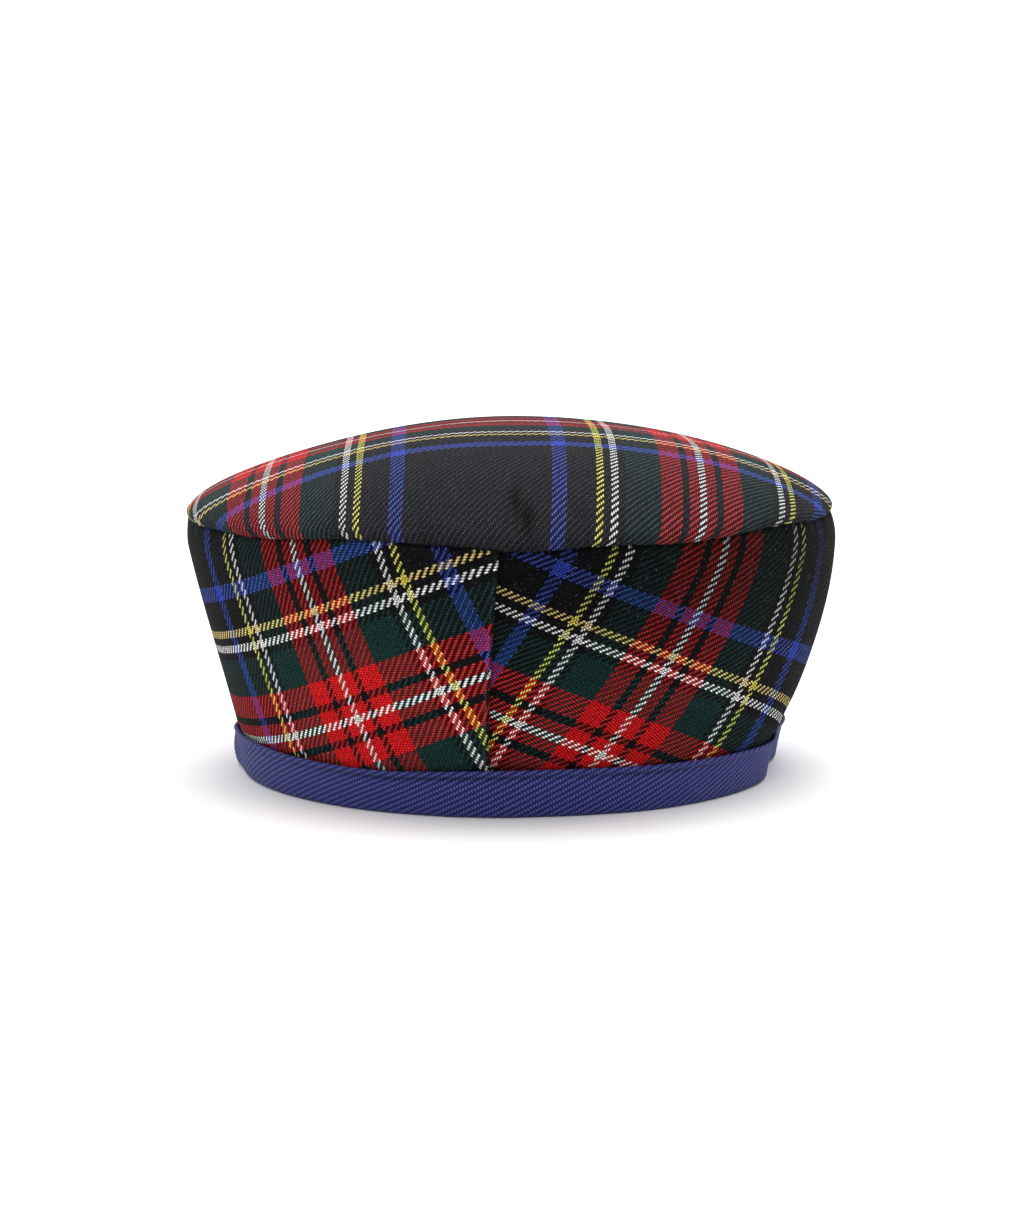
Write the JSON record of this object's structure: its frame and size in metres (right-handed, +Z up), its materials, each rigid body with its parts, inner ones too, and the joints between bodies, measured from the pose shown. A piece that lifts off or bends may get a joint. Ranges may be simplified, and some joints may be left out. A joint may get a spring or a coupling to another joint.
{
  "type": "tam o shanter",
  "caption": "Round tartan cap with a domed crown, a side wall of lapped panels that narrows downward, and a twill headband.",
  "frame": {"origin": "on the floor that the headband rests on, under the middle of the hat's bounding box", "axes": "+Z up out of the crown, -Y toward the front of the hat, +X to the right for someone who looks at its front"},
  "size_m": [0.2186, 0.2196, 0.1179],
  "materials": {
    "tartan_crown_cloth": "wool twill",
    "tartan_side_cloth": "wool twill",
    "blue_twill": "cotton twill"
  },
  "bodies": {
    "root": {"crown_top": "tartan_crown_cloth", "side_panel_left": "tartan_side_cloth", "side_panel_right": "tartan_side_cloth", "headband": "blue_twill"}
  },
  "joints": []
}
